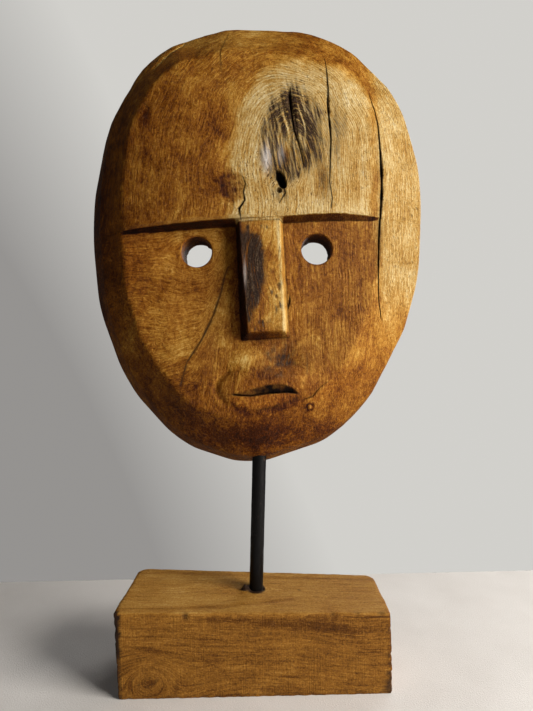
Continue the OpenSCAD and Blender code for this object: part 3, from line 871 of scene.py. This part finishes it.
# ---------------------------------------------------------------- materials
class Nodes:
    """A short way to write the node tree of a material or of the world."""

    def __init__(self, owner):
        owner.use_nodes = True
        self.owner, self.tree = owner, owner.node_tree

    def put(self, socket, value):
        if isinstance(value, bpy.types.NodeSocket):
            self.tree.links.new(value, socket)
        else:
            socket.default_value = value

    def add(self, kind, inputs=None, out=0, **settings):
        node = self.tree.nodes.new(kind)
        for key, value in settings.items():
            setattr(node, key, value)
        for key, value in (inputs or {}).items():
            self.put(node.inputs[key], value)
        return node.outputs[out]

    def attributes(self, *names):
        return [self.add("ShaderNodeAttribute", attribute_name=name, out="Fac") for name in names]

    def math(self, operation, a, b=0.0, clamp=False):
        return self.add("ShaderNodeMath", {0: a, 1: b}, operation=operation, use_clamp=clamp)

    def times(self, a, b, clamp=False):
        return self.math("MULTIPLY", a, b, clamp)

    def mix(self, share, a, b, kind="MIX"):
        node = self.tree.nodes.new("ShaderNodeMix")
        node.data_type, node.blend_type = "RGBA", kind
        self.put(node.inputs[0], share)
        self.put(node.inputs[6], a)
        self.put(node.inputs[7], b)
        return node.outputs[2]

    def ramp(self, value, stops):
        node = self.tree.nodes.new("ShaderNodeValToRGB")
        self.put(node.inputs[0], value)
        band = node.color_ramp
        while len(band.elements) < len(stops):
            band.elements.new(0.5)
        for element, (at, colour) in zip(band.elements, stops):
            element.position = at
            element.color = (*colour, 1) if len(colour) == 3 else colour
        return node.outputs[0]

    def step(self, value, low, high):
        """0 up to low, 1 from high on."""
        return self.ramp(value, [(low, (0, 0, 0)), (high, (1, 1, 1))])

    def noise(self, where, detail=3.0, rough=0.55, bend=0.0):
        return self.add("ShaderNodeTexNoise", {"Vector": where, "Scale": 1.0, "Detail": detail,
                                               "Roughness": rough, "Distortion": bend})

    def cloud(self, scale, *look):
        """Noise fixed to the piece, with its scale per metre."""
        spot = self.add("ShaderNodeTexCoord", out="Object")
        return self.noise(self.add("ShaderNodeMapping", {"Vector": spot, "Scale": scale}), *look)

    def fibres(self, axes, scales, *look):
        """Noise drawn out along the grain: one scale for each of three axes."""
        parts = {k: self.times(axis, scale) for k, (axis, scale) in enumerate(zip(axes, scales))}
        return self.noise(self.add("ShaderNodeCombineXYZ", parts), *look)

    def sum(self, *terms):
        total = None
        for value, amount in terms:
            part = self.times(value, amount)
            total = part if total is None else self.math("ADD", total, part)
        return total

    def finish(self, colour, roughness, gloss, height, distance):
        """Joins colour, roughness and bumps to the shader and gives the material."""
        bump = self.add("ShaderNodeBump", {"Height": height, "Distance": distance, "Strength": 1.0})
        looks = {"Base Color": colour, "Roughness": roughness, "Specular IOR Level": gloss, "Normal": bump}
        for name, value in looks.items():
            self.put(self.tree.nodes["Principled BSDF"].inputs[name], value)
        return self.owner


def wood_of_mask():
    m = Nodes(bpy.data.materials.new("carved_teak"))
    tone, warm, grey, dark, rough, pale, gloss_and_glint, chatter, across, along, depth = m.attributes(
        "tone", "warm", "grey", "dark", "rough", "pale", "gloss_and_glint", "chatter", "across", "along", "depth")
    axes = across, along, depth
    fibre = m.fibres(axes, (0.75, 0.035, 0.75), 4, 0.66, 0.3)
    fine = m.fibres(axes, (2.4, 0.22, 2.4), 3, 0.6)
    broad = m.fibres(axes, (0.16, 0.018, 0.16), 3, 0.55, 0.6)
    mottle = m.cloud((46, 46, 40), 6, 0.66, 1.4)
    curl = m.cloud((260, 260, 200), 5, 0.72, 1.8)
    grit = m.cloud((900, 900, 900), 3, 0.6)
    wave = m.math("SINE", m.sum((across, 3.7), (m.cloud((130, 130, 80), 3), 7.0)))
    pores = m.step(m.fibres(axes, (1.7, 0.32, 1.7), 2, 0.5), 0.60, 0.67)
    blades = m.times(chatter, m.math("SINE", m.sum((across, 2.2), (curl, 3.0))))
    calm = m.math("SUBTRACT", 1.0, m.times(pale, 0.35))
    rings = m.times(wave, m.sum((pale, 0.022), (tone, 0.016)))
    level = m.sum((tone, 1.0), (fibre, 0.52), (fine, 0.44), (broad, 0.16), (rings, 1.4), (blades, 0.06),
                  (m.times(mottle, calm), 0.50), (m.times(curl, calm), 0.62), (grit, 0.26))
    level = m.math("SUBTRACT", level, m.math("ADD", m.times(calm, 0.56), 0.69))
    colour = m.ramp(level, [
        (0.00, (0.008, 0.0015, 0.0002)), (0.22, (0.060, 0.013, 0.0008)), (0.42, (0.200, 0.068, 0.0050)),
        (0.60, (0.380, 0.185, 0.026)), (0.78, (0.560, 0.360, 0.105)), (1.00, (0.740, 0.580, 0.280))])
    red = m.mix(m.times(warm, 0.6), colour, (1.0, 0.80, 0.60, 1), "MULTIPLY")
    cool = m.mix(m.times(pale, 0.8), red, (0.85, 1.0, 1.60, 1), "MULTIPLY")
    ash = m.ramp(m.sum((fibre, 0.8), (fine, 0.5), (grit, 0.3)), [
        (0.66, (0.005, 0.0025, 0.0015)), (0.86, (0.026, 0.013, 0.007)), (1.00, (0.130, 0.080, 0.042))])
    weather = m.times(grey, m.math("SUBTRACT", m.sum((fibre, 6.5), (fine, 3.0), (curl, 2.0)), 4.55), True)
    worn = m.mix(weather, cool, ash)
    # The resin's pale grey colour is a painted glint; its gloss is the lower roughness in sheen.
    resin_with_painted_glint = m.mix(m.times(gloss_and_glint, m.sum((curl, 1.2), (fibre, 0.6)), True), worn, (0.46, 0.42, 0.40, 1))
    spotted = m.times(pores, m.sum((rough, 0.45), (pale, 0.30), (tone, 0.5)), True)
    holes = m.mix(spotted, resin_with_painted_glint, (0.050, 0.018, 0.004, 1))
    # dark holds the splits and the knot's holes, the painted shade at the brow's foot, the nose's root and in
    # the mouth, and the lower lip's dark marks.
    black = m.mix(dark, holes, (0.005, 0.002, 0.001, 1))
    sheen = m.sum((fibre, 0.20), (curl, 0.26), (rough, 0.22), (dark, 0.4), (gloss_and_glint, -0.30), (grey, 0.05))
    height = m.sum((fibre, 0.36), (fine, 0.20), (curl, 0.60), (wave, 0.02), (pores, -0.20), (blades, 0.06),
                   (grit, 0.12))
    return m.finish(black, m.math("ADD", sheen, 0.25, clamp=True), 0.10, height, 0.0012)


def wood_of_block():
    m = Nodes(bpy.data.materials.new("sawn_teak"))
    tone, dark, front_face, across = m.attributes("tone", "dark", "front", "across")
    split = m.add("ShaderNodeSeparateXYZ", {0: m.add("ShaderNodeTexCoord", out="Object")}).node.outputs
    axes = across, split["X"], split["Y"]
    fibre = m.fibres(axes, (0.50, 26, 500), 6, 0.66, 0.5)
    fine = m.fibres(axes, (1.9, 150, 1900), 3, 0.62, 0.3)
    streak = m.step(m.fibres(axes, (0.85, 16, 850), 3, 0.55, 0.2), 0.58, 0.68)
    mottle = m.cloud((26, 60, 60), 5, 0.62, 1.2)
    grit = m.cloud((800, 800, 800), 3, 0.65)
    saw = m.times(m.cloud((1150, 150, 26), 3, 0.6), front_face)
    pores = m.step(m.cloud((420, 1700, 1700), 2, 0.5), 0.62, 0.70)
    # The front face is painted a little darker (front_face, -0.05): painted shade.
    level = m.sum((tone, 1.0), (fibre, 0.55), (mottle, 0.46), (fine, 0.50), (saw, 0.10),
                  (front_face, -0.05), (grit, 0.60), (streak, -0.12))
    level = m.math("SUBTRACT", level, 1.03)
    colour = m.ramp(level, [
        (0.00, (0.020, 0.005, 0.0006)), (0.30, (0.110, 0.038, 0.0035)), (0.55, (0.280, 0.120, 0.016)),
        (0.80, (0.440, 0.235, 0.050)), (1.00, (0.580, 0.390, 0.150))])
    spotted = m.mix(m.times(pores, 0.45), colour, (0.10, 0.045, 0.015, 1))
    height = m.sum((fibre, 0.45), (fine, 0.25), (saw, 0.55), (pores, -0.3), (grit, 0.35))
    return m.finish(m.mix(dark, spotted, (0.020, 0.009, 0.004, 1)),
                    m.math("ADD", m.sum((fibre, 0.2), (saw, 0.12)), 0.55, clamp=True), 0.13, height, 0.0011)


def paint_of_rod():
    m = Nodes(bpy.data.materials.new("black_paint"))
    lumps = m.cloud((260, 260, 120), 3)
    grit = m.cloud((2200, 2200, 1400), 2)
    wear = m.step(m.cloud((420, 420, 150), 4, 0.6), 0.66, 0.74)
    base = m.mix(lumps, (0.0015, 0.0015, 0.0018, 1), (0.005, 0.0047, 0.0047, 1))
    return m.finish(m.mix(m.times(wear, 0.6), base, (0.085, 0.050, 0.035, 1)),
                    m.math("ADD", m.sum((lumps, 0.25), (wear, 0.25)), 0.20, clamp=True), 0.13,
                    m.sum((lumps, 0.6), (grit, 0.2), (wear, -0.4)), 0.0006)


# ---------------------------------------------------------------- block and rod
BLOCK_CORNER, BLOCK_EDGE, BLOCK_STEP = 0.009, 0.0008, 0.0016
TOP_CELL, UNDER_CELL, FOOT_CELL, FOOT_PATCH = 0.0019, 0.006, 0.0007, 0.0135
END_X, FRONT_Y, TOP_Z = 100.5, -34, 62  # where the block's edges are chipped, mm
CAD_BLOCK = np.array([v.co for v in frame["nodes"]["base_block"].data.vertices])
LEFT, RIGHT = CAD_BLOCK[:, 0].min(), CAD_BLOCK[:, 0].max()
AT_LEFT, AT_RIGHT = CAD_BLOCK[CAD_BLOCK[:, 0] < LEFT + 1e-5], CAD_BLOCK[CAD_BLOCK[:, 0] > RIGHT - 1e-5]


def block_plan():
    """Points round the block's plan, with its rounded back corners, from the CAD node."""
    front_y = CAD_BLOCK[:, 1].min()
    r, edge, arc = BLOCK_CORNER, BLOCK_EDGE, np.radians(np.arange(0, 91, 10))
    right_arc = [(RIGHT - r + r * math.cos(a), AT_RIGHT[:, 1].max() + r * math.sin(a)) for a in arc]
    left_arc = [(LEFT + r - r * math.sin(a), AT_LEFT[:, 1].max() + r * math.cos(a)) for a in arc]
    corners = [(LEFT + edge, front_y), (RIGHT - edge, front_y), (RIGHT, front_y + edge)]
    return corners + right_arc + left_arc + [(LEFT, front_y + edge), (LEFT + edge, front_y)]


def block_top(x):
    """Height of the CAD block's sloping top at x."""
    high_left, high_right = AT_LEFT[:, 2].max(), AT_RIGHT[:, 2].max()
    return high_left + (high_right - high_left) * (x - LEFT) / (RIGHT - LEFT)


def chips(x, y, z):
    """How much wood is missing from the block's edges, in metres."""
    mx, my, mz = x * 1000, y * 1000, z * 1000
    left = blob(mx, my, -END_X, FRONT_Y, 3.0, 2.8)
    left *= np.clip(1.3 * noise(mz, 0, 7, 51) + 1.0 * noise(mz, mx, 3.0, 52) - 0.1, 0, 1.3)
    right = blob(mx, my, END_X, FRONT_Y, 4.0, 3.0)
    right *= np.clip(1.4 * blob(mz, mz, 6, 6, 12, 12) + 1.1 * noise(mz, mx, 3.5, 53) - 0.3, 0, 1.6)
    top = blob(my, mz, FRONT_Y, TOP_Z, 2.0, 2.5) * np.clip(2.6 * noise(mx, 0, 9, 59) - 0.75, 0, 1)
    low = 0.6 * blob(my, mz, FRONT_Y, 0, 2.0, 2.0) * np.clip(0.4 + noise(mx, 0, 5, 60), 0, 1)
    return (1.3 * left + 1.5 * right + 1.1 * top + low) / 1000


def lean_of_ends(x, y, z):
    """How far the block's sawn ends stand out towards the front, in metres."""
    near = smooth((0.020 - y) / 0.054)
    left = -(0.6 + 22 * z) * smooth((-x - 0.080) / 0.020)
    right = (2.7 - 24 * z) * smooth((x - 0.080) / 0.020)
    return near * (left + right) / 1000


def make_block():
    plan = np.array(block_plan())
    at = walked(plan)
    n = int(at[-1] / BLOCK_STEP)
    want = np.linspace(0, at[-1], n, endpoint=False)
    px, py = np.interp(want, at, plan[:, 0]), np.interp(want, at, plan[:, 1])
    tangent = np.stack([np.roll(px, -1) - np.roll(px, 1), np.roll(py, -1) - np.roll(py, 1)], 1)
    tangent /= np.hypot(*tangent.T)[:, None]
    nx, ny = tangent[:, 1], -tangent[:, 0]
    top = block_top(px)
    s = want * 1000
    wear = (1.1 + 0.7 * noise(s, 0, 14, 54) + 0.4 * noise(s, 0, 4, 55)) / 1000
    wear = np.clip(wear, 0.0004, None)
    points, faces = [], []

    def ring(h, inset):
        mz, mx = h * 1000, px * 1000
        saw = 0.10 * noise(mx + py * 900, mz * 0.06, 1.7, 56) + 0.16 * noise(mx, mz, 19, 57)
        saw += 0.10 * noise(s, mz, 4.5, 58)
        step = inset + chips(px, py, h) - saw / 1000
        points.append(np.stack([px - nx * step + lean_of_ends(px, py, h), py - ny * step, h], 1))

    ring(px * 0, px * 0 + BLOCK_EDGE)
    ring(px * 0 + BLOCK_EDGE * 0.4, px * 0 + BLOCK_EDGE * 0.25)
    for t in np.linspace(0.03, 1, 40)[:-1]:
        ring(t * (top - wear), px * 0)
    for a in np.radians([20, 45, 70]):
        ring(top - wear * (1 - math.sin(a)), wear * (1 - math.cos(a)))
    rows = [k * n + np.arange(n) for k in range(len(points))]
    faces = bridge(rows)
    for row, rim, is_top in ((rows[-1], points[-1][:, :2], True), (rows[0], points[0][:, :2], False)):
        faces += block_cap(points, row, rim, is_top)
    return new_object("base_block_wood", np.concatenate(points), faces, 45)


def block_cap(points, ring, rim, is_top):
    """Closes the block's top or underside over a ring of points."""
    count = sum(len(p) for p in points)
    cell = TOP_CELL if is_top else UNDER_CELL
    x, y = np.meshgrid(np.arange(-0.11, 0.11, cell), np.arange(-0.05, 0.05, cell))
    x, y = x.ravel(), y.ravel()
    inside = within(x, y, rim)
    extra = np.stack([x[inside], y[inside]], 1)
    if is_top:
        foot = np.array([FOOT_X, FOOT_Y]) / 1000
        near = np.stack(np.meshgrid(*[c + np.arange(-FOOT_PATCH, FOOT_PATCH, FOOT_CELL) for c in foot]), -1)
        near = near.reshape(-1, 2)
        near = near[np.hypot(*(near - foot).T) < FOOT_PATCH - 0.0005]
        extra = np.concatenate([extra[np.hypot(*(extra - foot).T) >= FOOT_PATCH], near])
    extra = thin_out(extra * 1000, rim * 1000, cell * 600) / 1000
    every = np.concatenate([rim, extra])
    out, _, tris, origin, _, _ = delaunay_2d_cdt(
        [Vector(p * 1000) for p in every], [], [list(range(len(rim)))], 1, 1e-6, True)
    p = np.array([tuple(v) for v in out]) / 1000
    index, place = np.zeros(len(p), int), np.full(len(p), -1)
    fresh = []
    for k, ids in enumerate(origin):
        on_rim = [i for i in ids if i < len(rim)]
        if on_rim:
            index[k], place[k] = ring[on_rim[0]], on_rim[0]
        else:
            index[k] = count + len(fresh)
            fresh.append(k)
    q = p[fresh]
    if is_top:
        z = block_top(q[:, 0]) + top_relief(q[:, 0] * 1000, q[:, 1] * 1000) / 1000
    else:
        z = np.zeros(len(q))
    points.append(np.stack([q[:, 0], q[:, 1], z], 1))
    order = (0, 1, 2) if is_top else (2, 1, 0)
    kept = inside_loop(np.array([t for t in tris if len(t) == 3]), place, len(rim))
    return [tuple(int(index[t[k]]) for k in order) for t in kept]


SPLIT = [(-62, -26), (-20, -24), (8, -18), (26, -15)]  # on the block's top: x, y


def top_relief(x, y):
    """Height of the block's sawn top above its plane, in mm: glue round the rod, a split, saw marks."""
    lump = 4.6 * blob(x, y, FOOT_X - 9.0, FOOT_Y - 3.0, 2.3, 2.2) * (1 + 0.3 * noise(x, y, 1.9, 61))
    lump += 2.6 * blob(x, y, FOOT_X - 6.4, FOOT_Y - 3.6, 1.5, 1.5)
    lump += bell(np.hypot(x - FOOT_X, y - FOOT_Y) - 6.6, 0.9) * (0.5 + noise(x, y, 3, 62))
    marks = 0.14 * noise(x * 0.2, y, 3.2, 63) + 0.12 * noise(x, y, 17, 64)
    return lump + marks - 0.25 * bell(line_far(x, y, SPLIT), 0.7)


def paint_block(mesh):
    x, y, z = (places(mesh) * 1000).T
    top = block_top(x / 1000) * 1000
    on_top = smooth((z - top + 1.5) / 1.5)
    on_front = smooth((-31.5 - y) / 2) * (1 - on_top)
    # The top is painted 0.21 lighter than the sides: painted light, as the top catches more light.
    tone = 0.44 + 0.05 * noise(x, y + z, 40, 65) + 0.21 * on_top - 0.02 * smooth(x / 60)
    wave = line_far(x, y, [(-100, -27), (-62, -27), (-20, -24), (8, -18), (30, -13)])
    band = line_far(x, y, [(-100, 33), (-40, 29), (30, 22), (100, 20)])
    tone -= on_top * (0.16 * bell(wave, 2.2) + 0.14 * bell(band, 2.6))
    stripe = line_far(x, z, [(-30, 60), (20, 55), (60, 50), (100, 47)])
    low_line = line_far(x, z, [(-95, 41), (-40, 31), (-22, 20), (-14, 10)])
    knot = np.hypot((x + 78) / 1.3, z - 13)
    tone -= on_front * (0.15 * bell(stripe, 2.8) + 0.12 * bell(low_line, 1.1) + 0.12 * bell(knot, 4)
                        - 0.05 * np.cos(knot * 0.9) * bell(knot, 20))
    tone -= 0.10 * smooth((abs(x) - 98.5) / 1.5)
    stain = np.maximum.reduce([smooth((8.6 - np.hypot(x - FOOT_X + 3.2, y - FOOT_Y + 0.3)) / 3.5),
                               smooth((8.2 - np.hypot(x - FOOT_X, y - FOOT_Y + 1.2)) / 1.5),
                               smooth((z - top - 0.4) / 0.6)])
    edge = smooth(-97.2 - x + 1.3 * noise(z, 0, 4, 68)) * (0.50 + 0.50 * smooth((z - 26) / 10))
    specks = smooth((noise(x, z, 2.6, 72) - 0.10) / 0.3) * blob(x, z, -79, 13, 8, 4)
    dark = np.maximum.reduce([
        stain * smooth((z - top + 1.5) / 0.5), np.clip(chips(x / 1000, y / 1000, z / 1000) * 900, 0, 0.8),
        on_top * smooth((1.1 - np.hypot(x - 36, y - 2)) / 0.5), edge * smooth((-29 - y) / 3),
        0.9 * specks * on_front])
    ring = bell(knot, 24)
    face = z * (1 - ring) + 1.15 * knot * ring + 0.08 * np.maximum(x + 30, 0) + 2.5 * noise(x, z, 50, 69)
    flat = y + 96 - 5 * bell(x - FOOT_X, 30) + 2.5 * noise(x, y, 50, 70)
    store(mesh, across=face * (1 - on_top) + flat * on_top, tone=tone, dark=np.clip(dark, 0, 1),
          front=np.clip(1 - on_top, 0, 1))


def make_rod():
    """The rod: the CAD rod's size, with the slightly uneven surface of painted bar."""
    tip = ROD_R * math.sqrt(1 - ROD_AXIS.z ** 2)
    start = (rod_low.z + tip - ROD_FOOT.z) / ROD_AXIS.z
    end = (rod_high.z - tip - ROD_FOOT.z) / ROD_AXIS.z
    n, steps, chamfer = 56, 150, 0.001
    a = np.linspace(0, 2 * math.pi, n, endpoint=False)
    rows = [(start, ROD_R - chamfer)]
    rows += [(h, ROD_R) for h in np.linspace(start + chamfer, end - chamfer, steps)]
    rows += [(end, ROD_R - chamfer)]
    points = [[(0, 0, start)]]
    for h, r in rows:
        bare = smooth((h - 0.001) / 0.004) * smooth((0.100 - h) / 0.004)
        dent = 0.10 * noise(a * 5.5, h * 1000, 9, 71) + 0.05 * noise(a * 5.5, h * 1000, 3, 72) - 0.05
        rr = r + bare * dent / 1000 if r == ROD_R else r
        points.append(np.stack([rr * np.cos(a), rr * np.sin(a), a * 0 + h], 1))
    points.append([(0, 0, end)])
    rings = [1 + k * n + np.arange(n) for k in range(len(rows))]
    far_end = 1 + len(rows) * n
    faces = []
    for i, j in zip(range(n), np.roll(range(n), -1)):
        faces += [(0, int(rings[0][j]), int(rings[0][i])), (far_end, int(rings[-1][i]), int(rings[-1][j]))]
    rod = new_object("rod_bar", np.concatenate(points), faces + bridge(rings))
    rod.data.transform(ROD_PLACE)
    return rod


# ---------------------------------------------------------------- room
CAMERA_AT = (0.0145, -0.4158, 0.2689)
CAMERA_PITCH, CAMERA_ROLL = math.radians(-2.57), math.radians(1.28)
LENS = 27.04


def make_camera():
    data = bpy.data.cameras.new("camera")
    data.lens, data.sensor_width = LENS, 36.0
    data.clip_start, data.clip_end = 0.01, 20
    camera = bpy.data.objects.new("camera", data)
    bpy.context.scene.collection.objects.link(camera)
    p, r = CAMERA_PITCH, CAMERA_ROLL
    forward = Vector((0, math.cos(p), math.sin(p)))
    level_up = Vector((0, -math.sin(p), math.cos(p)))
    right = Vector((1, 0, 0)) * math.cos(r) - level_up * math.sin(r)
    up = Vector((1, 0, 0)) * math.sin(r) + level_up * math.cos(r)
    turn = Matrix((right, up, -forward)).transposed().to_4x4()
    camera.matrix_world = Matrix.Translation(CAMERA_AT) @ turn
    bpy.context.scene.camera = camera


def make_floor():
    m = Nodes(bpy.data.materials.new("pale_cloth"))
    weave, soft = m.cloud((900, 900, 900), 3), m.cloud((14, 14, 14), 3)
    colour = m.ramp(m.sum((weave, 0.4), (soft, 0.6)), [(0.3, (0.64, 0.61, 0.59)), (0.7, (0.75, 0.725, 0.71))])
    size, back_edge = 1.4, 0.160
    points = [(-size, back_edge - 2 * size, 0), (size, back_edge - 2 * size, 0), (size, back_edge, 0),
              (-size, back_edge, 0)]
    floor = new_object("floor", points, [(0, 1, 2, 3)])
    floor.data.materials.append(m.finish(colour, 0.9, 0.5, weave, 0.0003))


def area_light(name, at, aim, size, power, colour, gloss=1.0):
    data = bpy.data.lights.new(name, "AREA")
    data.shape, data.size, data.size_y = "RECTANGLE", size[0], size[1]
    data.energy, data.color, data.specular_factor = power, colour, gloss
    light = bpy.data.objects.new(name, data)
    light.location = at
    light.rotation_euler = (Vector(aim) - Vector(at)).to_track_quat("-Z", "Y").to_euler()
    bpy.context.scene.collection.objects.link(light)


def make_light():
    """Three area lights, and a plain wall seen only by the camera, with painted shade that makes it darker at
    the left and below.
    """
    world = bpy.data.worlds.new("room")
    bpy.context.scene.world = world
    w = Nodes(world)
    lit = w.tree.nodes["Background"]
    lit.inputs["Color"].default_value, lit.inputs["Strength"].default_value = (0.80, 0.80, 0.78, 1), 0.065
    way = w.add("ShaderNodeTexCoord", out="Generated")
    split = w.add("ShaderNodeSeparateXYZ", {0: way}).node.outputs
    rise = w.add("ShaderNodeMath", {0: split["Z"], 1: 0.45, 2: split["X"]}, operation="MULTIPLY_ADD")
    # The wall colour is painted shade: darker at the left and below.
    wall_with_painted_shade = w.ramp(w.math("ADD", rise, 0.37), [(0.0, (0.30, 0.29, 0.28)), (0.30, (0.64, 0.63, 0.60))])
    seen = w.add("ShaderNodeBackground", {"Color": wall_with_painted_shade})
    ray = w.add("ShaderNodeLightPath", out="Is Camera Ray")
    w.put(w.tree.nodes["World Output"].inputs["Surface"],
          w.add("ShaderNodeMixShader", {0: ray, 1: lit.outputs[0], 2: seen}))
    area_light("window", (1.06, -0.56, 0.58), (0, 0, 0.30), (0.7, 0.8), 31, (1.0, 0.96, 0.89))
    area_light("back_light", (0.9, 1.3, 0.7), (0, 0, 0.28), (1.2, 1.0), 12, (1.0, 0.98, 0.95))
    area_light("room_fill", (-0.3, -1.6, 1.0), (0, 0, 0.3), (1.4, 1.2), 2.0, (1.0, 0.97, 0.93), 0.3)
    bpy.context.scene.view_settings.view_transform = "Standard"


# ---------------------------------------------------------------- put together
make_camera()
make_floor()
make_light()

points_mm, mask_faces = mask_mesh()
mask = new_object("mask_carving", to_world(*points_mm.T), mask_faces)
cut_socket(mask, "drill_mask")
paint_mask(mask.data)
mask.data.materials.clear()
mask.data.materials.append(wood_of_mask())
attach(mask, "mask")
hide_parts("mask")

rod = make_rod()
rod.data.materials.append(paint_of_rod())
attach(rod, "rod")
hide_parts("rod")

block = make_block()
cut_socket(block, "drill_block")
paint_block(block.data)
block.data.materials.clear()
block.data.materials.append(wood_of_block())
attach(block, "base")
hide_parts("base_block")
